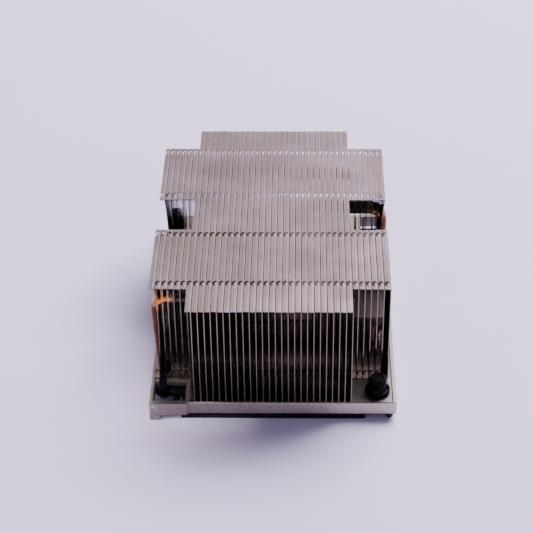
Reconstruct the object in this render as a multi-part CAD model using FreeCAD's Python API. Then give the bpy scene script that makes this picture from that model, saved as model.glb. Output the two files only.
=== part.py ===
import FreeCAD, Part
import math
import os

# Passive heatsink for a server processor. A stack of folded sheet fins stands on a base plate.
# Seen from above the stack has a narrow core over its whole length and two wide bands across it.
# X runs across the fins, Y along them (-Y is the front) and Z up. The origin is at the middle of
# the foot print, at the height of the surface that the heatsink stands on. All sizes are in mm.

# Fin stack
fin_pitch = 2.1
core_fins = 26
side_fins = 6
sheet = 0.32
fin_seam = 0.05
fin_bend = 0.16
fin_height = 38.5
core_overhang = 12.25
band_length = 33.6
waist_length = 18.3

# Interlock slots punched in the top folds, one row near each edge of a band. The outermost folds
# at the right end of the rear band have slipped, so that their tongues sit the other way round
hook_inset = 2.9
hook_half_x = 0.74
hook_half_y = 1.25
tongue_share = 0.72
tongue_shift_x = 0.02
tongue_shift_y = -0.4
slipped_fins = 3

# Flattened heat pipes, two to a band
pipe_width = 6.2
pipe_thick = 3.0
pipe_edge = 0.9
pipe_gap = 0.1
pipe_bend = 4.8
pipe_inset = 5.6
pipe_drop = 6.9
pipe_tip_inset = 3.0
leg_lean_left = 1.8
leg_lean_right = 0.5
leg_out_left = 0.85
leg_in_right = 0.25

# How far the sheets beside a pipe's leg are pressed inwards at mid height, outermost first
press_front_left = (0.7, 0.4, 0.0, 0.0, 0.0, 0.0)
press_rear_left = (0.85, 0.5, 0.0, 0.0, 0.0, 0.0)
press_front_right = (0.0, 0.0, 0.0, 0.0, 0.0, 0.0)
press_rear_right = (1.2, 0.6, 0.0, 0.0, 0.0, 0.0)

# Base plate, its pedestal and the bent frame around it
plate_thick = 4.7
stand_height = 2.3
plate_overhang = 2.55
plate_end = 0.3
rim_width = 1.3
strip_thick = 0.45
seat_gap = 0.1
pedestal_length = 62.0
pedestal_width = 44.0
window_width = 10.6
window_back = 1.75
window_bar = 2.0
window_step = 1.0
tab_width = 3.7
corner_round = 0.5

# Plastic carrier under the plate
carrier_width = 62.0
carrier_edge = 0.2
carrier_gap = 0.4
leg_arm_width = 2.6
leg_arm_back = 9.5
leg_arm_lift = 0.4
foot_radius = 1.3

# Retaining nuts
nut_inset_x = 6.3
nut_clear_y = 6.4
nut_flange_radius = 4.2
nut_flange_thick = 1.7
nut_collar_radius = 3.0
nut_collar_height = 3.9
nut_stem_radius = 2.6
nut_stem_play = 0.2
nut_bore_radius = 1.5
nut_bore_depth = 5.0
nut_lug_width = 2.8
nut_lug_depth = 1.5
nut_lug_height = 2.2

# Latch bars across the two windows, with a thumb tab and a toe
latch_radius = 1.9
latch_end_gap = 0.1
latch_back_gap = 0.2
latch_height = 4.7
latch_tab_place = 1.8
latch_tab_width = 2.4
latch_tab_thick = 1.1
latch_tab_low = 1.2
latch_tab_rise = 8.0
latch_toe_place = 6.2
latch_toe_width = 2.2
latch_toe_reach = 2.0
latch_toe_thick = 1.2

# Places that follow from the sizes above
all_fins = core_fins + 2 * side_fins
base_top = stand_height + plate_thick
fin_top = base_top + fin_height
last_sheet_x = (all_fins - 1) / 2 * fin_pitch
band_near = waist_length / 2
band_far = band_near + band_length
core_half = band_far + core_overhang
frame_half_x = last_sheet_x + sheet / 2 + plate_overhang
frame_half_y = core_half + plate_end
plate_half_x = frame_half_x - rim_width - seat_gap
plate_half_y = frame_half_y - strip_thick - seat_gap
low_tip_x = last_sheet_x - pipe_tip_inset
high_tip_x = core_fins / 2 * fin_pitch
run_low = base_top - pipe_thick / 2 - pipe_gap
run_high = fin_top - pipe_drop
nut_x = frame_half_x - nut_inset_x
nut_y = band_far + nut_clear_y
window_inner_x = plate_half_x - window_width
window_inner_y = band_far + window_back


def vec(x, y, z):
    return FreeCAD.Vector(x, y, z)


def block(x0, x1, y0, y1, z0, z1):
    return Part.makeBox(x1 - x0, y1 - y0, z1 - z0, vec(x0, y0, z0))


def turned(shape):
    # The same shape half a turn round the vertical axis
    copy = shape.copy()
    copy.rotate(vec(0, 0, 0), vec(0, 0, 1), 180)
    return copy


def save(name, shape):
    shape.exportStep(os.path.join("parts", name + ".step"))


def sheet_x(index):
    return (index - (all_fins - 1) / 2) * fin_pitch


def fin_profile(x, press):
    # A sheet that stands upright, with a fold to the left at its top and another at its foot
    right = x + sheet / 2
    left = x - sheet / 2
    tip = x - fin_pitch + sheet / 2 + fin_seam
    top = fin_top
    bottom = base_top
    middle = (top + bottom) / 2

    def line(a, b):
        return Part.LineSegment(vec(a[0], 0, a[1]), vec(b[0], 0, b[1])).toShape()

    def web(a, b):
        if press == 0:
            return line(a, b)
        crown = vec((a[0] + b[0]) / 2 + press, 0, middle)
        return Part.Arc(vec(a[0], 0, a[1]), crown, vec(b[0], 0, b[1])).toShape()

    edges = [web((right, bottom), (right, top - fin_bend)),
             line((right, top - fin_bend), (right - fin_bend, top)),
             line((right - fin_bend, top), (tip, top)),
             line((tip, top), (tip, top - sheet)),
             line((tip, top - sheet), (left, top - sheet)),
             web((left, top - sheet), (left, bottom + sheet)),
             line((left, bottom + sheet), (tip, bottom + sheet)),
             line((tip, bottom + sheet), (tip, bottom)),
             line((tip, bottom), (right, bottom))]
    return Part.Face(Part.Wire(edges))


def hook_slot(x, y, towards):
    # A crescent round the next fold's tongue, at its back where towards is 1 and its front at -1
    centre_x = x - fin_pitch / 2 + fin_seam / 2
    points = [(tongue_shift_x, tongue_shift_y + tongue_share * hook_half_y)]
    for angle in [55, 130, 205]:
        a = math.radians(angle)
        points.append((hook_half_x * math.cos(a), hook_half_y * math.sin(a)))
    low = fin_top - 2 * sheet
    corners = [vec(centre_x + px, y + towards * py, low) for px, py in points]
    corners.append(corners[0])
    return Part.Face(Part.makePolygon(corners)).extrude(vec(0, 0, 3 * sheet))


def rounded_path(points, radii):
    # Straight runs in the XZ plane, joined by tangent arcs
    edges = []
    start = points[0]
    for before, corner, after, radius in zip(points, points[1:], points[2:], radii):
        into = (corner - before).normalize()
        out = (after - corner).normalize()
        turn = into.getAngle(out)
        reach = radius * math.tan(turn / 2)
        arc_start = corner - into * reach
        arc_end = corner + out * reach
        towards = (out - into).normalize()
        arc_middle = corner + towards * (radius / math.cos(turn / 2) - radius)
        edges.append(Part.LineSegment(start, arc_start).toShape())
        edges.append(Part.Arc(arc_start, arc_middle, arc_end).toShape())
        start = arc_end
    edges.append(Part.LineSegment(start, points[-1]).toShape())
    return Part.Wire(edges)


def pipe_path(side):
    # Low run in the plate, a leg outside the fins and a high run back through them
    if side < 0:
        leg_x = last_sheet_x + leg_out_left
        lean = leg_lean_left
    else:
        leg_x = last_sheet_x - leg_in_right
        lean = leg_lean_right
    beyond_tip = low_tip_x + 2 * pipe_thick
    points = [vec(-side * beyond_tip, 0, run_low),
              vec(side * (leg_x - lean), 0, run_low),
              vec(side * leg_x, 0, run_high),
              vec(-side * beyond_tip, 0, run_high)]
    return rounded_path(points, [pipe_bend, pipe_bend])


def pipe_solid(side, y, gap=0.0):
    # A ribbon as thick as the flattened pipe, with its long edges rounded where it is the pipe
    outline = pipe_path(side).makeOffset2D(pipe_thick / 2 + gap)
    half = pipe_width / 2 + gap
    solid = Part.Face(outline).extrude(vec(0, 2 * half, 0))
    solid.translate(vec(0, y - half, 0))
    middle = (run_low + run_high) / 2
    beyond = [block(low_tip_x + gap, 2 * low_tip_x, y - 2 * half, y + 2 * half, 0, middle),
              block(high_tip_x + gap, 2 * low_tip_x, y - 2 * half, y + 2 * half, middle, fin_top)]
    if side > 0:
        beyond = [piece.mirror(vec(0, 0, 0), vec(1, 0, 0)) for piece in beyond]
    return solid.cut(beyond)


def pipe_rounded(side, y):
    solid = pipe_solid(side, y)
    long_edges = [e for e in solid.Edges if e.BoundBox.YLength < 0.001]
    return solid.makeChamfer(pipe_edge, long_edges)


def pipe_places():
    # Name, side of its leg and place along Y of each pipe
    return [("heat_pipe_front_outer", -1, -band_far + pipe_inset),
            ("heat_pipe_front_inner", 1, -band_near - pipe_inset),
            ("heat_pipe_rear_inner", 1, band_near + pipe_inset),
            ("heat_pipe_rear_outer", -1, band_far - pipe_inset)]


def fin_solid(index, y0, y1, press, tools, towards=1):
    solid = fin_profile(sheet_x(index), press).extrude(vec(0, y1 - y0, 0))
    solid.translate(vec(0, y0, 0))
    slots = [hook_slot(sheet_x(index), y, towards)
             for y in hook_rows() if y0 < y < y1]
    return solid.cut(slots + tools).Solids[0]


def hook_rows():
    near = band_near + hook_inset
    far = band_far - hook_inset
    return [-far, -near, near, far]


def make_fins(reliefs):
    for number in range(core_fins):
        index = side_fins + number
        fin = fin_solid(index, -core_half, core_half, 0.0, reliefs)
        save("core_fin_%02d" % (number + 1), fin)
    bands = [("front", -band_far, -band_near, reliefs[:2]),
             ("rear", band_near, band_far, reliefs[2:])]
    presses = {("front", "left"): press_front_left,
               ("front", "right"): press_front_right,
               ("rear", "left"): press_rear_left,
               ("rear", "right"): press_rear_right}
    for band, y0, y1, tools in bands:
        for number in range(side_fins):
            press = presses[(band, "left")][number]
            fin = fin_solid(number, y0, y1, press, tools)
            save("%s_left_fin_%d" % (band, number + 1), fin)
            press = -presses[(band, "right")][number]
            slipped = band == "rear" and number < slipped_fins
            towards = -1 if slipped else 1
            fin = fin_solid(all_fins - 1 - number, y0, y1, press, tools, towards)
            save("%s_right_fin_%d" % (band, number + 1), fin)


def nut_hole(x, y):
    return Part.makeCylinder(nut_stem_radius + nut_stem_play, plate_thick + 2,
                             vec(x, y, stand_height - 1))


def plate_corner_notch():
    # The plate stops short of the window at its front left corner
    return block(-frame_half_x - 1, -window_inner_x, -frame_half_y - 2, -window_inner_y,
                 stand_height - 1, base_top + 1)


def make_base_plate(reliefs):
    plate = block(-plate_half_x, plate_half_x, -plate_half_y, plate_half_y,
                  stand_height, base_top)
    pedestal = block(-pedestal_width / 2, pedestal_width / 2,
                     -pedestal_length / 2, pedestal_length / 2, 0, stand_height)
    notch = plate_corner_notch()
    plate = plate.fuse(pedestal).removeSplitter()
    cuts = [notch, turned(notch), nut_hole(nut_x, -nut_y), nut_hole(-nut_x, nut_y)]
    save("base_plate", plate.cut(cuts + reliefs).Solids[0])


def frame_front_half():
    # Front strip, right rim, window bar and corner tab, with the window left open
    strip = block(-window_inner_x, frame_half_x, -frame_half_y, -frame_half_y + strip_thick,
                  stand_height, base_top)
    rim = block(frame_half_x - rim_width, frame_half_x, -frame_half_y, frame_half_y,
                stand_height, base_top)
    bar_front = -frame_half_y - window_step
    bar_end = -window_inner_x + strip_thick
    bar_back_end = -window_inner_x - seat_gap
    corners = [vec(-frame_half_x, bar_front, stand_height),
               vec(bar_end, bar_front, stand_height),
               vec(bar_end + window_step, -frame_half_y, stand_height),
               vec(bar_end + window_step, -frame_half_y + strip_thick, stand_height),
               vec(bar_back_end, -frame_half_y + strip_thick, stand_height),
               vec(bar_back_end, bar_front + window_bar, stand_height),
               vec(-frame_half_x, bar_front + window_bar, stand_height),
               vec(-frame_half_x, bar_front, stand_height)]
    bar = Part.Face(Part.makePolygon(corners)).extrude(vec(0, 0, plate_thick))
    tab = block(-frame_half_x, -frame_half_x + tab_width, bar_front,
                bar_front + window_bar / 2, 0, base_top)
    return strip.fuse([rim, bar, tab])


def make_edge_frame():
    half = frame_front_half()
    frame = half.fuse(turned(half)).removeSplitter()
    save("edge_frame", frame.Solids[0])


def make_carrier():
    # A ring under the plate, with two arms that end in feet below the closed corners
    half_x = carrier_width / 2
    half_y = frame_half_y - carrier_edge
    ring = block(-half_x, half_x, -half_y, half_y, 0, stand_height)
    hole = block(-pedestal_width / 2 - carrier_gap, pedestal_width / 2 + carrier_gap,
                 -pedestal_length / 2 - carrier_gap, pedestal_length / 2 + carrier_gap,
                 -1, stand_height + 1)
    foot_x = frame_half_x - foot_radius - 2 * corner_round
    foot_y = -half_y + foot_radius
    arm_y = -half_y + leg_arm_back
    across = block(half_x - 1, foot_x + leg_arm_width / 2, arm_y, arm_y + leg_arm_width,
                   leg_arm_lift, stand_height)
    along = block(foot_x - leg_arm_width / 2, foot_x + leg_arm_width / 2, foot_y, arm_y + 1,
                  leg_arm_lift, stand_height)
    foot = Part.makeCone(foot_radius * 0.55, foot_radius, stand_height, vec(foot_x, foot_y, 0))
    stem = Part.makeCylinder(nut_stem_radius + nut_stem_play, stand_height + 2,
                             vec(nut_x, -nut_y, -1))
    arm = across.fuse([along, foot]).cut(stem)
    carrier = ring.cut(hole).fuse([arm, turned(arm)]).removeSplitter()
    save("carrier_frame", carrier.Solids[0])


def upright_nut():
    # Flange on the plate, a collar above it and a bored stem down through the plate
    flange = Part.makeCylinder(nut_flange_radius, nut_flange_thick, vec(0, 0, base_top))
    collar_low = base_top + nut_flange_thick
    collar = Part.makeCylinder(nut_collar_radius, nut_collar_height, vec(0, 0, collar_low))
    stem = Part.makeCylinder(nut_stem_radius, plate_thick, vec(0, 0, stand_height))
    lug = block(-nut_lug_width / 2, nut_lug_width / 2,
                -nut_flange_radius + 0.1, -nut_flange_radius + nut_lug_depth + 0.1,
                base_top + nut_flange_thick, base_top + nut_flange_thick + nut_lug_height)
    bore = Part.makeCylinder(nut_bore_radius, nut_bore_depth + 1, vec(0, 0, stand_height - 1))
    return flange.fuse([collar, stem, lug]).removeSplitter().cut(bore)


def make_retaining_nuts():
    nut = upright_nut()
    nut.translate(vec(nut_x, -nut_y, 0))
    save("retaining_nuts", Part.makeCompound([nut, turned(nut)]))


def window_latch():
    # A round bar from the rim to the wall of the plate, with a tab and a toe
    x0 = -plate_half_x - seat_gap + latch_end_gap
    x1 = -window_inner_x - latch_end_gap
    y = -window_inner_y - latch_back_gap - latch_radius
    z = latch_height
    along = vec(1, 0, 0)
    barrel = Part.makeCylinder(latch_radius, x1 - x0, vec(x0, y, z), along)
    tab_front = y - latch_radius - latch_tab_thick / 2
    tab = block(x0 + latch_tab_place, x0 + latch_tab_place + latch_tab_width,
                tab_front, tab_front + latch_tab_thick,
                z - latch_tab_low, z + latch_tab_rise)
    toe = block(x0 + latch_toe_place, x0 + latch_toe_place + latch_toe_width,
                y - latch_radius - latch_toe_reach, y,
                z - latch_radius, z - latch_radius + latch_toe_thick)
    return barrel.fuse([tab, toe]).removeSplitter()


def make_window_latches():
    latch = window_latch()
    save("window_latches", Part.makeCompound([latch, turned(latch)]))


def make_pipes():
    reliefs = []
    for name, side, y in pipe_places():
        save(name, pipe_rounded(side, y))
        reliefs.append(pipe_solid(side, y, pipe_gap))
    return reliefs


os.makedirs("parts", exist_ok=True)
pipe_reliefs = make_pipes()
make_fins(pipe_reliefs)
make_base_plate(pipe_reliefs)
make_edge_frame()
make_carrier()
make_retaining_nuts()
make_window_latches()
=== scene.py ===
import math
import random

import bmesh
import bpy
from mathutils import Matrix, Vector
from mathutils.geometry import tessellate_polygon


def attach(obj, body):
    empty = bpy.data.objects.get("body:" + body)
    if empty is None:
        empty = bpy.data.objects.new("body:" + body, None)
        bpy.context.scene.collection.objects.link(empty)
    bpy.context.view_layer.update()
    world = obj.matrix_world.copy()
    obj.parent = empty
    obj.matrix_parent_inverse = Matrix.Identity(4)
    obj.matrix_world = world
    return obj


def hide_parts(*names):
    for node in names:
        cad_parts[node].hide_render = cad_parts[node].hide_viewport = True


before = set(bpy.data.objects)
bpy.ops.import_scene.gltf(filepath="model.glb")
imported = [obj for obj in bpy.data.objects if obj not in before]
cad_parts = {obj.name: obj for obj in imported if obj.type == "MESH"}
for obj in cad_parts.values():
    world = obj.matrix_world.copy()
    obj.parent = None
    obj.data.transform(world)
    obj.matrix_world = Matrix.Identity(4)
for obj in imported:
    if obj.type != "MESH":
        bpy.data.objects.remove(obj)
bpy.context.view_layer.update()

MM = 0.001

# Every size and place of the object is in millimetres, with X across the fins and -Y at the front

# Fin stack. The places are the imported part's, and the sheets are drawn thinner with wider seams
FIN_PITCH = 2.1
CORE_FINS = 26
SIDE_FINS = 6
ALL_FINS = CORE_FINS + 2 * SIDE_FINS
SHEET = 0.27
FIN_SEAM = 0.07
BASE_TOP = 7.0
FIN_TOP = 45.5
CORE_HALF = 55.0
BAND_NEAR = 9.15
BAND_FAR = 42.75

# Sideways bow of the side fins at mid height, outermost first
PRESSES = {"front_left": (0.7, 0.4, 0.15), "rear_left": (0.85, 0.5, 0.15),
           "front_right": (), "rear_right": (-1.2, -0.6, -0.2)}
BOW_STEPS = 14

# Small differences from one fin to the next
SEED = 11
END_PLAY = 0.1
TOP_PLAY = (-0.03, 0.02)
WAVE_PLAY = 0.06

# Bends of a sheet, the openings of its hooks and the tongues inside them
BEND_RADIUS = 0.36
BEND_STEPS = 5
HOOK_INSET = 2.9
HOOK_HALF = (0.81, 1.55)
HOOK_ARC = (230, 30)
HOOK_STEPS = 13
TONGUE_HALF = (0.56, 1.12)
TONGUE_ARC = (38, 220)
TONGUE_SHIFT = (0.18, -0.34)
TONGUE_RISE = 0.04
TONGUE_STEPS = 16
SLIPPED_FINS = 3

# Rings of a tongue's dome, each as a share of its width and of its rise
TONGUE_RINGS = ((1.0, -0.01), (0.93, 0.6), (0.7, 0.9), (0.35, 1.0))

# Nick in the front end of each side fin: its middle height, its depth and its height
NICK_MIDDLE = 25.5
NICK_DEPTH = 0.5
NICK_HEIGHT = 0.35
NICK_SPAN = (NICK_MIDDLE - NICK_HEIGHT / 2, NICK_MIDDLE + NICK_HEIGHT / 2)

# Heat pipes. A leg has its X at the top and how far its foot leans inwards
PIPE_WIDTH = 6.2
PIPE_THICK = 3.0
PIPE_BEND = 4.8
PIPE_INSET = 5.6
RUN_LOW = 5.4
RUN_HIGH = 38.6
LOW_TIP_X = 35.85
HIGH_TIP_X = 27.3
LEG_LEFT = (39.7, 1.8)
LEG_RIGHT = (38.6, 0.5)
LEG_MIDDLE = (RUN_LOW + RUN_HIGH) / 2
PIPE_TURN_STEPS = 14
PIPE_RING_STEPS = 28
# Powers that square off the round of a pipe across its width and its thickness
SQUARE_WIDE = 0.62
SQUARE_THICK = 0.8

# Nuts
NUT_X = 35.26
NUT_Y = 49.15
LUG_ACROSS = (-1.4, 1.4)
LUG_DEPTH = (-4.1, -2.6)
LUG_UP = (8.6, 10.9)
LUG_ROUND = 0.35
RIB_ACROSS = (-0.45, 0.45)
RIB_DEPTH = (2.9, 3.7)
RIB_UP = (8.6, 9.9)
RIB_ROUND = 0.2

# Latches. The barrel lies along X, and its tab and toe are placed from where it starts
LATCH_X = -40.16
LATCH_Y = -46.6
LATCH_Z = 4.7
BARREL_LENGTH = 10.5
BARREL_RADIUS = 1.9
GROOVES = 4
GROOVE_START = 5.3
GROOVE_PITCH = 1.15
GROOVE_WIDTH = 0.62
GROOVE_SLOPE = 0.12
GROOVE_RADIUS = 1.62
TAB_ALONG = (1.8, 4.2)
TAB_DEPTH = (-2.45, -1.35)
TAB_UP = (-1.2, 8.0)
TAB_ROUND = 0.5
TOE_ALONG = (6.2, 8.4)
TOE_DEPTH = (-3.9, 0.0)
TOE_UP = (-1.9, -0.7)
TOE_ROUND = 0.45

# Steps in a full turned round, and in the quarter round of a box's corner
LATHE_STEPS = 48
CORNER_STEPS = 5

# Crease across a corner tab, painted bright as a highlight, from its upper to its lower end in X and
# Z. Its width and its ridge are placed from its middle
CREASE = ((-41.3, 6.75), (-38.75, 4.45))
CREASE_ABOVE = (0.2, 0.22)
CREASE_BELOW = (-0.12, -0.13)
CREASE_RIDGE = (0.0, -0.02)
CREASE_SUNK = 0.02
CREASE_PROUD = 0.16
TAB_FRONT = 56.3

# Bevels, and gaps over which points are joined
EDGE_BEVEL = 0.12
FRAME_BEVEL = 0.22
BEVEL_ANGLE = 32
MERGE_GAP = 0.002
WELD_GAP = 0.005

# A face whose direction is this nearly upright is shaded flat
LEVEL = 0.99

# Camera, at the photograph's viewing angle
PHOTO_WIDTH = 533
FOCAL_PX = 1630.4
CAMERA_TURN = math.radians(1.55)
CAMERA_DROP = math.radians(36.5)
CAMERA_ROLL = math.radians(-0.79)
CAMERA_AIM = Vector((-3.09, 4.04, 20.0)) * MM
CAMERA_REACH = 586.8 * MM
SENSOR = 36.0

# Room, in metres
FLOOR_SIZE = 3.0
FLOOR_GAP = 0.00005
WORLD_COLOUR = (0.77, 0.74, 0.98, 1.0)
WORLD_STRENGTH = 0.265

# Heights between which a fin's look changes from foot to web and from web to top
FOOT_BAND = (BASE_TOP + 0.5, BASE_TOP + 1.5)
TOP_BAND = (FIN_TOP - 0.6, FIN_TOP - 0.2)

# Faint line of painted shade along each fold, as shares of the pitch
LINE_PLACE = 0.46
LINE_BAND = (0.025, 0.06)
LINE_SHADE = 0.6

# How far a face looks sideways before it counts as a bend, or forwards as a cut end
SLANT_BAND = (0.4, 0.8)
SLANT_SHADE = 0.85
CUT_BAND = (0.5, 0.9)

# Looks of the sheets: the colour of the painted shade along the folds and in the bends of their tops,
# then their looks away from their tops
PAINTED_SEAM_SHADE = (0.03, 0.022, 0.02)
WEB_ROUGHNESS = 0.12
WEB_TINT = (1.0, 0.98, 0.82)
# Darkening of the fins' feet on the base plate, a painted shade
FOOT_SHADE_TINT = (0.62, 0.58, 0.5)
EDGE_METAL = (0.235, 0.20, 0.158)
SHEET_GREY = (0.14, 0.12, 0.125)
GREY_SHARE = 0.14

# Painted copper glints on the webs beside a pipe's bends, standing in for the pipe's reflection:
# their colour and their bounds in millimetres
GLINT_COLOUR = (0.95, 0.40, 0.13)
SHINE_METALLIC_DROP = -0.5
SHINE_OUT = (31.5, 33.5)
SHINE_LAST_FIN = (38.1, 38.4)
SHINE_ALONG = (36.5, 39.5)
SHINE_BEND = (33.5, 36.5)
SHINE_CEILING = (42.5, 43.5)
SHINE_FOOT = (11.5, 13.5)
SHINE_FOOT_OUT = (36.5, 37.5)

# The same painted glints' bounds in other measures: patches of a noise, X times the face's sideways
# direction, and X times Y in square metres
SHINE_PATCHES = (0.44, 0.56)
INWARD_BAND = (-0.02, -0.01)
CORNER_BAND = (0.0, 0.0001)

# Painted shade on the base plate: under the fins, less in the notches at the waist, and towards the
# right edge
FIN_SHADE_END = (40.0, 43.5)
FIN_SHADE_SHARE = 0.10
NOTCH_OUT = (27.3, 28.0)
NOTCH_END = (8.8, 9.3)
NOTCH_SHADE_CUT = 0.2
RIGHT_SHADE_OUT = (22.0, 37.0)
RIGHT_SHADE_SHARE = 0.8
RIGHT_SHADE_COLOUR = (0.105, 0.078, 0.080)

# Where the pipes come out bright, and how far from the middle of their legs the painted shade turns
# them brown
PIPE_OUT = (32.5, 36.0)
BROWN_AWAY = (13.5, 16.5)
BROWN_SHARE = 0.94
BROWN_COLOUR = (0.06, 0.022, 0.009)


def make_camera():
    forward = Vector((-math.sin(CAMERA_TURN) * math.cos(CAMERA_DROP),
                      math.cos(CAMERA_TURN) * math.cos(CAMERA_DROP),
                      -math.sin(CAMERA_DROP)))
    level = Vector((math.cos(CAMERA_TURN), math.sin(CAMERA_TURN), 0.0))
    upright = level.cross(forward)
    right = level * math.cos(CAMERA_ROLL) + upright * math.sin(CAMERA_ROLL)
    up = upright * math.cos(CAMERA_ROLL) - level * math.sin(CAMERA_ROLL)
    data = bpy.data.cameras.new("camera")
    data.sensor_width = SENSOR
    data.lens = FOCAL_PX / PHOTO_WIDTH * SENSOR
    data.clip_start = 0.01
    camera = bpy.data.objects.new("camera", data)
    turn = Matrix((right, up, -forward)).transposed().to_4x4()
    camera.matrix_world = Matrix.Translation(CAMERA_AIM - forward * CAMERA_REACH) @ turn
    bpy.context.collection.objects.link(camera)
    bpy.context.scene.camera = camera


class Maker:
    # Short forms for the nodes of one procedural material
    def __init__(self, name):
        self.material = bpy.data.materials.new(name)
        self.material.use_nodes = True
        self.tree = self.material.node_tree
        self.shader = self.tree.nodes["Principled BSDF"]
        self.coords = self.tree.nodes.new("ShaderNodeTexCoord").outputs["Object"]

    def feed(self, socket, value):
        # Links an output to a socket, or sets a constant on it
        if isinstance(value, bpy.types.NodeSocket):
            self.tree.links.new(value, socket)
        elif socket.type == "RGBA":
            socket.default_value = value + (1.0,)
        else:
            socket.default_value = value

    def node(self, kind, **inputs):
        made = self.tree.nodes.new(kind)
        for key, value in inputs.items():
            self.feed(made.inputs[key.replace("_", " ")], value)
        return made

    def link(self, output, socket):
        self.tree.links.new(output, self.shader.inputs[socket])

    def axes(self, vector):
        parts = self.node("ShaderNodeSeparateXYZ", Vector=vector)
        return [parts.outputs[axis] for axis in "XYZ"]

    def facing(self):
        # Direction of the flat face, as X, Y and Z
        return self.axes(self.node("ShaderNodeNewGeometry").outputs["True Normal"])

    def noise(self, scale, detail=4.0, stretch=(1, 1, 1)):
        mapping = self.node("ShaderNodeMapping", Vector=self.coords, Scale=stretch)
        made = self.node("ShaderNodeTexNoise", Vector=mapping.outputs["Vector"], Scale=scale,
                         Detail=detail, Roughness=0.6)
        return made.outputs["Fac"]

    def ramp(self, value, stops):
        made = self.node("ShaderNodeValToRGB", Fac=value)
        elements = made.color_ramp.elements
        while len(elements) < len(stops):
            elements.new(0.5)
        for element, (place, colour) in zip(elements, stops):
            element.position = place
            element.color = tuple(colour) + (1.0,)
        return made.outputs["Color"]

    def spread(self, value, low, high, band=(0.3, 0.7)):
        # Low at the start of a band of values, high at its end, and level outside it
        made = self.node("ShaderNodeMapRange", Value=value, From_Min=band[0], From_Max=band[1],
                         To_Min=low, To_Max=high)
        return made.outputs["Result"]

    def rise(self, place, band, share=1.0):
        # Up from 0 over a band in millimetres
        return self.spread(place, 0.0, share, [edge * MM for edge in band])

    def fall(self, place, band, share=1.0):
        # Down to 0 over a band in millimetres
        return self.spread(place, share, 0.0, [edge * MM for edge in band])

    def mix(self, factor, a, b, blend="MIX"):
        made = self.tree.nodes.new("ShaderNodeMix")
        made.data_type = "RGBA"
        made.blend_type = blend
        for socket, value in ((made.inputs[0], factor), (made.inputs[6], a),
                              (made.inputs[7], b)):
            self.feed(socket, value)
        return made.outputs[2]

    def math(self, operation, *values):
        made = self.tree.nodes.new("ShaderNodeMath")
        made.operation = operation
        for socket, value in zip(made.inputs, values):
            self.feed(socket, value)
        return made.outputs["Value"]

    def absolute(self, value):
        return self.math("ABSOLUTE", value)

    def product(self, *values):
        total = values[0]
        for value in values[1:]:
            total = self.math("MULTIPLY", total, value)
        return total

    def bump(self, height, depth, strength):
        # Depth in millimetres
        made = self.node("ShaderNodeBump", Height=height, Distance=depth * MM, Strength=strength)
        self.tree.links.new(made.outputs["Normal"], self.shader.inputs["Normal"])


def scaled(colour, share):
    return tuple(share * part for part in colour)


def painted_copper_glints(m, x, y, z, facing_x):
    # How much painted copper glint, standing in for the pipe's reflection, lies on the webs beside a
    # pipe's bends: at the window corners and on the last fins, on faces that look inwards, in patches
    out = m.absolute(x)
    corner = m.math("MAXIMUM", m.spread(m.product(x, y), 0.0, 1.0, CORNER_BAND),
                    m.rise(out, SHINE_LAST_FIN))
    inward = m.spread(m.product(x, facing_x), 1.0, 0.0, INWARD_BAND)
    shoulder = m.product(m.rise(z, SHINE_BEND), m.fall(z, SHINE_CEILING))
    foot = m.product(m.fall(z, SHINE_FOOT), m.rise(out, SHINE_FOOT_OUT))
    patches = m.spread(m.noise(scale=330.0, detail=2.0, stretch=(1, 1, 0.6)), 0.0, 1.0, SHINE_PATCHES)
    return m.product(m.math("MAXIMUM", shoulder, foot), patches, inward,
                     m.rise(out, SHINE_OUT), m.rise(m.absolute(y), SHINE_ALONG), corner)


def nickel(name, pale, dull, warm, metallic, rough):
    # Plated sheet: brushed along its length, with cloudy patches and a warm tarnish
    m = Maker(name)
    x, y, z = m.axes(m.coords)
    facing_x, facing_y = m.facing()[:2]
    grain = m.noise(scale=300.0, detail=2.0, stretch=(9, 0.4, 9))
    tarnish = m.noise(scale=60.0, detail=5.0, stretch=(1, 0.6, 1))
    base = m.ramp(m.noise(scale=75.0, detail=5.0), [(0.36, dull), (0.64, pale)])
    base = m.mix(m.spread(tarnish, 0.0, 0.75, (0.47, 0.66)), base, warm)
    each = m.node("ShaderNodeObjectInfo").outputs["Random"]
    base = m.mix(m.product(each, GREY_SHARE), base, SHEET_GREY)

    # A faint line of painted shade along each fold, and painted shade in the bends beside the seams
    column = m.math("MULTIPLY_ADD", x, 1 / (FIN_PITCH * MM), 0.5)
    line = m.absolute(m.math("SUBTRACT", m.math("FRACT", column), LINE_PLACE))
    base = m.mix(m.spread(line, LINE_SHADE, 0.0, LINE_BAND), base, PAINTED_SEAM_SHADE)
    top = m.mix(m.spread(m.absolute(facing_x), 0.0, SLANT_SHADE, SLANT_BAND), base, PAINTED_SEAM_SHADE)

    # The webs, their feet darkened with painted shade, and their cut ends
    flat = m.rise(z, TOP_BAND)
    foot = m.fall(z, FOOT_BAND)
    web = m.mix(foot, m.mix(1.0, base, WEB_TINT, "MULTIPLY"),
                m.mix(1.0, base, FOOT_SHADE_TINT, "MULTIPLY"))
    web = m.mix(m.spread(m.absolute(facing_y), 0.0, 1.0, CUT_BAND), web, EDGE_METAL)

    # Painted copper glints on the webs beside the pipes' bends
    shine = m.product(painted_copper_glints(m, x, y, z, facing_x), m.math("SUBTRACT", 1.0, flat))
    m.link(m.mix(shine, m.mix(flat, web, top), GLINT_COLOUR), "Base Color")
    m.link(m.math("MULTIPLY_ADD", shine, SHINE_METALLIC_DROP, metallic), "Metallic")
    satin = m.node("ShaderNodeMix", Factor=flat, A=WEB_ROUGHNESS, B=m.spread(grain, *rough))
    m.link(satin.outputs["Result"], "Roughness")
    m.bump(grain, depth=0.03, strength=m.product(flat, 0.35))
    return m.material


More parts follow.
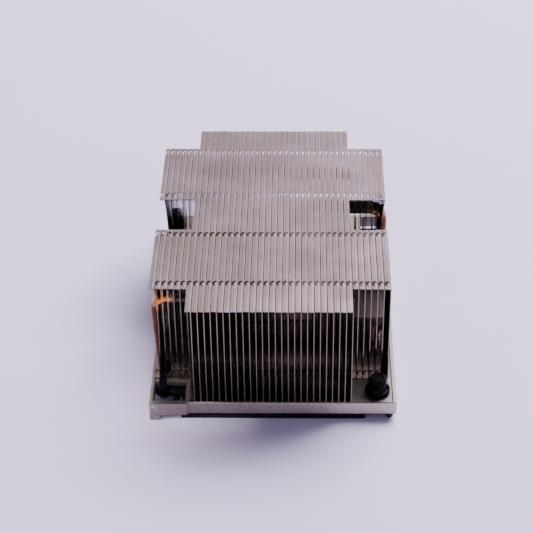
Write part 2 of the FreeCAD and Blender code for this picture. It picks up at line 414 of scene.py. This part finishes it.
def painted_plate_shade(m, base, dull):
    # Painted shade under the fins, less of it in the notches at the waist and none at the corners,
    # and painted shade towards the right edge
    x, y = m.axes(m.coords)[:2]
    notch = m.product(m.rise(m.absolute(x), NOTCH_OUT, NOTCH_SHADE_CUT), m.fall(m.absolute(y), NOTCH_END))
    fin_shade = m.math("SUBTRACT", m.fall(m.absolute(y), FIN_SHADE_END), notch)
    base = m.mix(fin_shade, base, scaled(dull, FIN_SHADE_SHARE))
    return m.mix(m.rise(x, RIGHT_SHADE_OUT, RIGHT_SHADE_SHARE), base, RIGHT_SHADE_COLOUR)


def shade_upward_faces(m, base, dull):
    # Painted shade: faces that look upwards are darker
    upwards = m.facing()[2]
    return m.mix(m.spread(upwards, 0.0, 0.8, (0.7, 0.95)), base, scaled(dull, 0.2))


def cast_metal(name, pale, dull, grain_scale, metallic, rough, painted_shade):
    # Blasted metal with a fine even grain and soft cloudy stains, then darkened by a painted shade
    # that the caller gives
    m = Maker(name)
    grain = m.noise(scale=grain_scale, detail=3.0)
    base = m.ramp(m.noise(scale=60.0), [(0.32, dull), (0.68, pale)])
    base = m.mix(m.spread(grain, 0.0, 0.6, (0.42, 0.68)), base, scaled(dull, 0.6))
    m.link(painted_shade(m, base, dull), "Base Color")
    m.shader.inputs["Metallic"].default_value = metallic
    m.link(m.spread(grain, *rough), "Roughness")
    m.bump(grain, depth=0.05, strength=0.5)
    return m.material


def copper(name):
    # Drawn copper, bright at the bends outside the fins with painted shade turning the middle of each
    # leg brown, and dark grey between the fins
    m = Maker(name)
    x, _, z = m.axes(m.coords)
    stains = m.noise(scale=140.0, detail=5.0)
    bright = m.ramp(stains, [(0.32, (0.30, 0.105, 0.04)), (0.5, (0.75, 0.33, 0.14)),
                             (0.68, (1.0, 0.60, 0.33))])
    dark = m.ramp(stains, [(0.35, (0.15, 0.13, 0.115)), (0.7, (0.24, 0.21, 0.19))])
    # Painted shade turns the middle of each leg brown
    away = m.absolute(m.math("SUBTRACT", z, LEG_MIDDLE * MM))
    bright = m.mix(m.fall(away, BROWN_AWAY, BROWN_SHARE), bright, BROWN_COLOUR)
    share = m.rise(m.absolute(x), PIPE_OUT)
    m.link(m.mix(share, dark, bright), "Base Color")
    m.shader.inputs["Metallic"].default_value = 1.0
    m.link(m.math("MULTIPLY_ADD", share, -0.26, m.spread(stains, 0.58, 0.46)), "Roughness")
    scratches = m.noise(scale=500.0, detail=2.0, stretch=(0.6, 14, 0.6))
    wrinkles = m.noise(scale=320.0, detail=2.0)
    m.bump(m.math("MULTIPLY_ADD", wrinkles, 8.0, scratches), depth=0.05, strength=0.7)
    return m.material


def plastic(name, colour, pale, rough):
    # Moulded plastic with a faint texture and paler patches painted on as a sheen
    m = Maker(name)
    texture = m.noise(scale=1900.0, detail=2.0)
    m.link(m.ramp(m.noise(scale=210.0, detail=5.0), [(0.4, colour), (0.75, pale)]), "Base Color")
    m.link(m.spread(texture, *rough), "Roughness")
    m.shader.inputs["Specular IOR Level"].default_value = 0.045
    m.bump(texture, depth=0.04, strength=0.4)
    return m.material


def floor_sheet(name, pale, dull):
    m = Maker(name)
    m.link(m.ramp(m.noise(scale=7.0, detail=3.0), [(0.3, dull), (0.7, pale)]), "Base Color")
    m.shader.inputs["Roughness"].default_value = 0.75
    m.bump(m.noise(scale=900.0, detail=2.0), depth=0.2, strength=0.15)
    return m.material


def dress(name, material):
    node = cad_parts[name]
    node.data.materials.clear()
    node.data.materials.append(material)


def soften(piece, width, segments=2):
    # A small bevel on every sharp edge, so that it catches the light as a real one does
    bevel = piece.modifiers.new("bevel", "BEVEL")
    bevel.width = width * MM
    bevel.segments = segments
    bevel.limit_method = "ANGLE"
    bevel.angle_limit = math.radians(BEVEL_ANGLE)


def soften_node(name, width, segments=2):
    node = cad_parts[name]
    weld = node.modifiers.new("weld", "WELD")
    weld.merge_threshold = WELD_GAP * MM
    soften(node, width, segments)


class Shell:
    # Collects faces in millimetres, then becomes a piece that stands for CAD nodes
    def __init__(self):
        self.points = []
        self.faces = []

    def add(self, points, faces):
        start = len(self.points)
        self.points += points
        self.faces += [tuple(start + i for i in face) for face in faces]

    def grid(self, rows, closed=False):
        # Quads between rows of points, as wide as the first row
        width = len(rows[0])
        faces = []
        for r in range(len(rows) - 1):
            for c in range(width if closed else width - 1):
                d = (c + 1) % width
                faces.append((r * width + c, r * width + d, (r + 1) * width + d,
                              (r + 1) * width + c))
        self.add([p for row in rows for p in row], faces)

    def cap(self, ring):
        self.add(ring, [tuple(range(len(ring)))])

    def piece(self, name, material, slot, nodes=(), sharp=40):
        mesh = bpy.data.meshes.new(name)
        mesh.from_pydata([tuple(c * MM for c in p) for p in self.points], [], self.faces)
        work = bmesh.new()
        work.from_mesh(mesh)
        bmesh.ops.remove_doubles(work, verts=work.verts, dist=MERGE_GAP * MM)
        bmesh.ops.recalc_face_normals(work, faces=work.faces)
        work.to_mesh(mesh)
        work.free()
        curved = [abs(face.normal.z) < LEVEL for face in mesh.polygons]
        mesh.polygons.foreach_set("use_smooth", curved)
        mesh.set_sharp_from_angle(angle=math.radians(sharp))
        mesh.materials.append(material)
        made = bpy.data.objects.new(name, mesh)
        bpy.context.collection.objects.link(made)
        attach(made, "root")
        if nodes:
            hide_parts(*nodes)
        return made


def fin_place(name):
    # Column, front and back ends, bow and direction of the tongues of one fin
    number = int(name.split("_")[-1])
    if name.startswith("core"):
        return SIDE_FINS + number - 1, -CORE_HALF, CORE_HALF, 0.0, 1
    side = name.split("_fin_")[0]
    presses = PRESSES[side]
    press = presses[number - 1] if number <= len(presses) else 0.0
    ends = (-BAND_FAR, -BAND_NEAR) if side.startswith("front") else (BAND_NEAR, BAND_FAR)
    towards = -1 if side == "rear_right" and number <= SLIPPED_FINS else 1
    column = number - 1 if side.endswith("left") else ALL_FINS - number
    return column, ends[0], ends[1], press, towards


def ellipse(centre, half, start, end, steps):
    points = []
    for step in range(steps + 1):
        angle = math.radians(start + (end - start) * step / steps)
        points.append((centre[0] + half[0] * math.cos(angle),
                       centre[1] + half[1] * math.sin(angle)))
    return points


def hook_outline(x, y, towards):
    # Crescent round the back of a tongue
    outer = ellipse((0, 0), HOOK_HALF, *HOOK_ARC, HOOK_STEPS)
    inner = ellipse(TONGUE_SHIFT, TONGUE_HALF, *TONGUE_ARC, HOOK_STEPS)
    return [(x + px, y + towards * py) for px, py in outer + inner]


def fold_sheet(shell, x, ys, rows, level, up, towards):
    # The flat fold at the top (up = 1) or foot (up = -1) of a sheet, and the bend beside it
    inner = level - up * SHEET
    right = x + SHEET / 2
    flat = right - BEND_RADIUS
    tip = right - FIN_PITCH + FIN_SEAM
    edge = [(tip, y) for y in reversed(ys)]
    holes = [hook_outline(x - FIN_PITCH / 2, y, towards) for y in rows]
    loops = [[(flat, y) for y in ys] + edge] + holes
    corners = [p for loop in loops for p in loop]
    triangles = tessellate_polygon([[Vector((p[0], p[1], 0)) for p in loop] for loop in loops])
    for z in (level, inner):
        shell.add([(p[0], p[1], z) for p in corners], [tuple(t) for t in triangles])
    for loop in holes:
        shell.grid([[(p[0], p[1], z) for p in loop] for z in (level, inner)], closed=True)
    shell.grid([[(p[0], p[1], z) for p in edge] for z in (level, inner)])
    for y in (ys[0], ys[-1]):
        shell.cap([(flat, y, level), (tip, y, level), (tip, y, inner), (flat, y, inner)])
    bends = []
    for radius in (BEND_RADIUS, BEND_RADIUS - SHEET):
        arc = []
        for step in range(BEND_STEPS + 1):
            angle = math.radians(90 * step / BEND_STEPS)
            arc.append((flat + radius * math.sin(angle),
                        level - up * (BEND_RADIUS - radius * math.cos(angle))))
        bends.append(arc)
        shell.grid([[(p[0], y, p[1]) for y in ys] for p in arc])
    for y in (ys[0], ys[-1]):
        shell.grid([[(p[0], y, p[1]) for p in arc] for arc in bends])


def tongue_domes(shell, x, rows, towards):
    # The tongues stand a little proud of the folds
    for y in rows:
        centre = (x - FIN_PITCH / 2 + TONGUE_SHIFT[0], y + towards * TONGUE_SHIFT[1])
        rings = []
        for share, rise in TONGUE_RINGS:
            half = (TONGUE_HALF[0] * share, TONGUE_HALF[1] * share)
            loop = ellipse(centre, half, 0, 360, TONGUE_STEPS)[:-1]
            rings.append([(p[0], p[1], FIN_TOP + rise * TONGUE_RISE) for p in loop])
        shell.grid(rings, closed=True)
        shell.cap(rings[-1])


def upright_web(shell, x, ys, top, press, wave):
    # The upright part of a sheet. Where ys has a middle value, the nick is that deep
    low = BASE_TOP + BEND_RADIUS
    high = top - BEND_RADIUS
    steps = BOW_STEPS if press else 1
    levels = [low + (high - low) * k / steps for k in range(steps + 1)]
    nicked = len(ys) > 2
    if nicked:
        levels = sorted(levels + list(NICK_SPAN))
    strips = []
    for z0, z1 in zip(levels, levels[1:]):
        cut = nicked and NICK_SPAN[0] <= (z0 + z1) / 2 <= NICK_SPAN[1]
        strips.append((z0, z1, ys[1:] if cut else ys))

    def web_x(z):
        share = (z - low) / (high - low)
        return x + press * 4 * share * (1 - share) + wave * math.sin(2 * math.pi * share)

    sides = (-SHEET / 2, SHEET / 2)
    for side in sides:
        for z0, z1, span in strips:
            for a, b in zip(span, span[1:]):
                shell.grid([[(web_x(z) + side, y, z) for y in (a, b)] for z in (z0, z1)])
    for z0, z1, span in strips:
        for y in (span[0], span[-1]):
            shell.grid([[(web_x(z) + side, y, z) for side in sides] for z in (z0, z1)])


def fin_piece(name, material, chance):
    column, y0, y1, press, towards = fin_place(name)
    x = (column - (ALL_FINS - 1) / 2) * FIN_PITCH
    y0 += chance.uniform(-END_PLAY, END_PLAY)
    y1 += chance.uniform(-END_PLAY, END_PLAY)
    top = FIN_TOP + chance.uniform(*TOP_PLAY)
    rows = [s * (BAND_NEAR + HOOK_INSET) for s in (-1, 1)]
    rows += [s * (BAND_FAR - HOOK_INSET) for s in (-1, 1)]
    rows = [y for y in rows if y0 < y < y1]
    ys = [y0, y1] if name.startswith("core") else [y0, y0 + NICK_DEPTH, y1]
    shell = Shell()
    fold_sheet(shell, x, ys, rows, top, 1, towards)
    fold_sheet(shell, x, ys, rows, BASE_TOP, -1, towards)
    tongue_domes(shell, x, rows, towards)
    upright_web(shell, x, ys, top, press, chance.uniform(-WAVE_PLAY, WAVE_PLAY))
    shell.piece("sheet_" + name, material, "nickel_fin", [name], sharp=32)


def make_fins(material):
    chance = random.Random(SEED)
    for name in sorted(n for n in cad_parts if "_fin_" in n):
        fin_piece(name, material, chance)


def pipe_line(side):
    # Middle line of a pipe in the XZ plane, with its two bends
    leg_x, lean = LEG_LEFT if side < 0 else LEG_RIGHT
    points = [(-side * LOW_TIP_X, RUN_LOW), (side * (leg_x - lean), RUN_LOW),
              (side * leg_x, RUN_HIGH), (-side * HIGH_TIP_X, RUN_HIGH)]
    points = [Vector(p) for p in points]
    line = [points[0]]
    for before, corner, after in zip(points, points[1:], points[2:]):
        into = (corner - before).normalized()
        out = (after - corner).normalized()
        turn = into.angle(out)
        reach = PIPE_BEND * math.tan(turn / 2)
        middle = corner + (out - into).normalized() * (PIPE_BEND / math.cos(turn / 2))
        start = corner - into * reach - middle
        end = corner + out * reach - middle
        sweep = start.angle_signed(end)
        for step in range(PIPE_TURN_STEPS + 1):
            angle = -sweep * step / PIPE_TURN_STEPS
            line.append(middle + Matrix.Rotation(angle, 2) @ start)
    return line + [points[-1]]


def pipe_piece(name, side, y, material):
    line = pipe_line(side)
    shell = Shell()
    rings = []
    for k, point in enumerate(line):
        ahead = line[min(k + 1, len(line) - 1)] - line[max(k - 1, 0)]
        across = Vector((-ahead.y, ahead.x)).normalized()
        ring = []
        for step in range(PIPE_RING_STEPS):
            angle = 2 * math.pi * step / PIPE_RING_STEPS
            c, s = math.cos(angle), math.sin(angle)
            wide = math.copysign(abs(c) ** SQUARE_WIDE, c) * PIPE_WIDTH / 2
            thick = math.copysign(abs(s) ** SQUARE_THICK, s) * PIPE_THICK / 2
            ring.append((point.x + across.x * thick, y + wide, point.y + across.y * thick))
        rings.append(ring)
    shell.grid(rings, closed=True)
    shell.cap(rings[0])
    shell.cap(rings[-1])
    shell.piece("drawn_" + name, material, "copper_pipe", [name])


def make_pipes(material):
    far = BAND_FAR - PIPE_INSET
    near = BAND_NEAR + PIPE_INSET
    pipe_piece("heat_pipe_front_outer", -1, -far, material)
    pipe_piece("heat_pipe_front_inner", 1, -near, material)
    pipe_piece("heat_pipe_rear_inner", 1, near, material)
    pipe_piece("heat_pipe_rear_outer", -1, far, material)


def lathe(shell, profile, place):
    # Turns a profile of (radius, height) and puts its points where place says
    rings = []
    for radius, height in profile:
        ring = []
        for step in range(LATHE_STEPS):
            angle = 2 * math.pi * step / LATHE_STEPS
            ring.append(place(radius * math.cos(angle), radius * math.sin(angle), height))
        rings.append(ring)
    shell.grid(rings, closed=True)


def slab(shell, outline, start, end, place):
    # An outline in two directions, given its thickness along the third
    faces = [[place(a, b, t) for a, b in outline] for t in (start, end)]
    shell.grid(faces, closed=True)
    for face in faces:
        shell.cap(face)


def rounded_box(a0, a1, b0, b1, radius):
    # Outline of a box with round corners
    points = []
    corners = ((a1, b1, -1, -1, 0), (a0, b1, 1, -1, 90), (a0, b0, 1, 1, 180), (a1, b0, -1, 1, 270))
    for a, b, in_a, in_b, start in corners:
        centre = (a + in_a * radius, b + in_b * radius)
        points += ellipse(centre, (radius, radius), start, start + 90, CORNER_STEPS)
    return points


def both_corners(shell):
    # Adds the same form half a turn round the vertical axis
    faces = list(shell.faces)
    shell.add([(-x, -y, z) for x, y, z in shell.points], faces)


def nut_profile():
    # Radius and height, up from the bore's roof through the stem, the flange and the collar
    bore = [(0.0, 7.3), (1.5, 7.3), (1.5, 2.3)]
    stem = [(2.6, 2.3), (2.6, BASE_TOP)]
    flange = [(3.95, BASE_TOP), (4.15, 7.1), (4.2, 7.3), (4.2, 8.35), (4.1, 8.6), (3.85, 8.7)]
    collar = [(3.2, 8.7), (3.04, 8.8), (3.0, 9.0), (2.95, 12.5), (2.85, 12.9), (2.55, 13.2)]
    rim = [(2.2, 13.25), (1.9, 13.1), (1.75, 12.8), (0.0, 12.7)]
    return bore + stem + flange + collar + rim


def make_nuts(material):
    shell = Shell()
    lathe(shell, nut_profile(), lambda x, y, z: (NUT_X + x, -NUT_Y + y, z))
    slab(shell, rounded_box(*LUG_ACROSS, *LUG_UP, LUG_ROUND), *LUG_DEPTH,
         lambda a, b, t: (NUT_X + a, -NUT_Y + t, b))
    for side in (-1, 1):
        slab(shell, rounded_box(*RIB_ACROSS, *RIB_UP, RIB_ROUND), *RIB_DEPTH,
             lambda a, b, t: (NUT_X + side * t, -NUT_Y + a, b))
    both_corners(shell)
    piece = shell.piece("turned_nuts", material, "black_plastic", ["retaining_nuts"], sharp=35)
    soften(piece, EDGE_BEVEL)


def barrel_profile():
    # Radius and place along the barrel: a rounded nose, a plain stretch, then ribs
    profile = [(0.0, 0.0), (0.9, 0.12), (1.5, 0.55), (1.8, 1.2), (BARREL_RADIUS, 2.0)]
    for k in range(GROOVES):
        start = GROOVE_START + k * GROOVE_PITCH
        end = start + GROOVE_WIDTH
        profile += [(BARREL_RADIUS, start), (GROOVE_RADIUS, start + GROOVE_SLOPE),
                    (GROOVE_RADIUS, end - GROOVE_SLOPE), (BARREL_RADIUS, end)]
    return profile + [(BARREL_RADIUS, BARREL_LENGTH), (0.0, BARREL_LENGTH)]


def make_latches(material):
    def place(x, y, z):
        return LATCH_X + x, LATCH_Y + y, LATCH_Z + z

    shell = Shell()
    lathe(shell, barrel_profile(), lambda a, b, t: place(t, a, b))
    slab(shell, rounded_box(*TAB_ALONG, *TAB_UP, TAB_ROUND), *TAB_DEPTH,
         lambda a, b, t: place(a, t, b))
    slab(shell, rounded_box(*TOE_ALONG, *TOE_DEPTH, TOE_ROUND), *TOE_UP, place)
    both_corners(shell)
    piece = shell.piece("ribbed_latches", material, "black_plastic", ["window_latches"], sharp=35)
    soften(piece, EDGE_BEVEL)


def make_tab_folds(material):
    # The crease across each bent corner tab, painted bright as a highlight: a low ridge with four
    # sides
    shell = Shell()
    (x0, z0), (x1, z1) = CREASE
    x, z = (x0 + x1) / 2, (z0 + z1) / 2
    front = -TAB_FRONT
    points = [(x0, front + CREASE_SUNK, z0), (x + CREASE_ABOVE[0], front, z + CREASE_ABOVE[1]),
              (x1, front + CREASE_SUNK, z1), (x + CREASE_BELOW[0], front, z + CREASE_BELOW[1]),
              (x + CREASE_RIDGE[0], front - CREASE_PROUD, z + CREASE_RIDGE[1])]
    shell.add(points, [(0, 1, 4), (1, 2, 4), (2, 3, 4), (3, 0, 4), (3, 2, 1, 0)])
    both_corners(shell)
    shell.piece("tab_folds", material, "frame_metal")


def make_floor(material):
    half = FLOOR_SIZE / 2
    mesh = bpy.data.meshes.new("floor")
    mesh.from_pydata([(-half, -half, 0), (half, -half, 0), (half, half, 0), (-half, half, 0)],
                     [], [(0, 1, 2, 3)])
    floor = bpy.data.objects.new("floor", mesh)
    floor.location = (0, 0, -FLOOR_GAP)
    mesh.materials.append(material)
    bpy.context.collection.objects.link(floor)


def area_light(name, place, aim, size, power, colour, fan=180):
    # Place, aim and size in metres, power in watts, fan of its rays in degrees
    data = bpy.data.lights.new(name, "AREA")
    data.shape = "RECTANGLE"
    data.size, data.size_y = size
    data.energy = power
    data.spread = math.radians(fan)
    data.color = colour
    light = bpy.data.objects.new(name, data)
    light.location = place
    light.rotation_euler = (Vector(aim) - Vector(place)).to_track_quat("-Z", "Y").to_euler()
    bpy.context.collection.objects.link(light)


def make_world():
    world = bpy.data.worlds.new("studio")
    world.use_nodes = True
    background = world.node_tree.nodes["Background"]
    background.inputs["Color"].default_value = WORLD_COLOUR
    background.inputs["Strength"].default_value = WORLD_STRENGTH
    bpy.context.scene.world = world


def make_lights():
    area_light("key", place=(0.75, 0.95, 1.65), aim=(0.05, 0.05, 0.02), size=(1.5, 1.1),
               power=104.0, colour=(0.95, 0.94, 1.0))
    area_light("front", place=(-0.35, -0.9, 0.5), aim=(-0.03, -0.04, 0.02), size=(0.3, 0.3),
               power=0.6, colour=(1.0, 0.97, 0.97))
    area_light("back", place=(-0.1, 1.25, 0.75), aim=(0.0, 0.0, 0.03), size=(1.3, 0.6),
               power=6.5, colour=(0.96, 0.95, 1.0))

    # Two narrow beams, into the front left window and onto the copper above it
    area_light("corner", place=(-0.42, -0.45, 0.95), aim=(-0.040, -0.050, 0.0),
               size=(0.02, 0.02), power=0.006, colour=(0.98, 0.95, 1.0), fan=3.5)
    area_light("left_glint", place=(0.16, -0.42, 0.06), aim=(-0.0365, -0.0425, 0.0385),
               size=(0.02, 0.02), power=0.006, colour=(1.0, 0.97, 0.95), fan=3)


fin_metal = nickel("nickel_sheet", pale=(0.188, 0.136, 0.151), dull=(0.124, 0.086, 0.092),
                   warm=(0.142, 0.094, 0.080), metallic=0.92, rough=(0.3, 0.44))
plate_metal = cast_metal("plate_metal", pale=(0.37, 0.305, 0.285), dull=(0.26, 0.212, 0.2),
                         grain_scale=1500.0, metallic=0.85, rough=(0.35, 0.5), painted_shade=painted_plate_shade)
frame_metal = cast_metal("frame_metal", pale=(0.66, 0.57, 0.51), dull=(0.50, 0.43, 0.385),
                         grain_scale=1800.0, metallic=0.85, rough=(0.34, 0.5), painted_shade=shade_upward_faces)
# Near-white metal for the crease of each tab, a painted highlight
crease_highlight_metal = cast_metal("crease_highlight_metal", pale=(0.95, 0.93, 0.92), dull=(0.85, 0.82, 0.81),
                        grain_scale=1800.0, metallic=0.6, rough=(0.25, 0.4), painted_shade=shade_upward_faces)
pipe_copper = copper("pipe_copper")
black = plastic("black_plastic", colour=(0.0015, 0.0015, 0.0025), pale=(0.007, 0.007, 0.012),
                rough=(0.42, 0.6))
carrier_black = plastic("carrier_plastic", colour=(0.007, 0.007, 0.012),
                        pale=(0.018, 0.018, 0.028), rough=(0.45, 0.6))
pale_sheet = floor_sheet("floor_sheet", pale=(0.83, 0.705, 1.0), dull=(0.80, 0.675, 0.99))

make_camera()
make_floor(pale_sheet)
make_world()
make_lights()
make_fins(fin_metal)
make_pipes(pipe_copper)
dress("base_plate", plate_metal)
dress("edge_frame", frame_metal)
dress("carrier_frame", carrier_black)
make_nuts(black)
make_latches(black)
make_tab_folds(crease_highlight_metal)
soften_node("edge_frame", FRAME_BEVEL, 3)
soften_node("base_plate", EDGE_BEVEL)
soften_node("carrier_frame", EDGE_BEVEL)
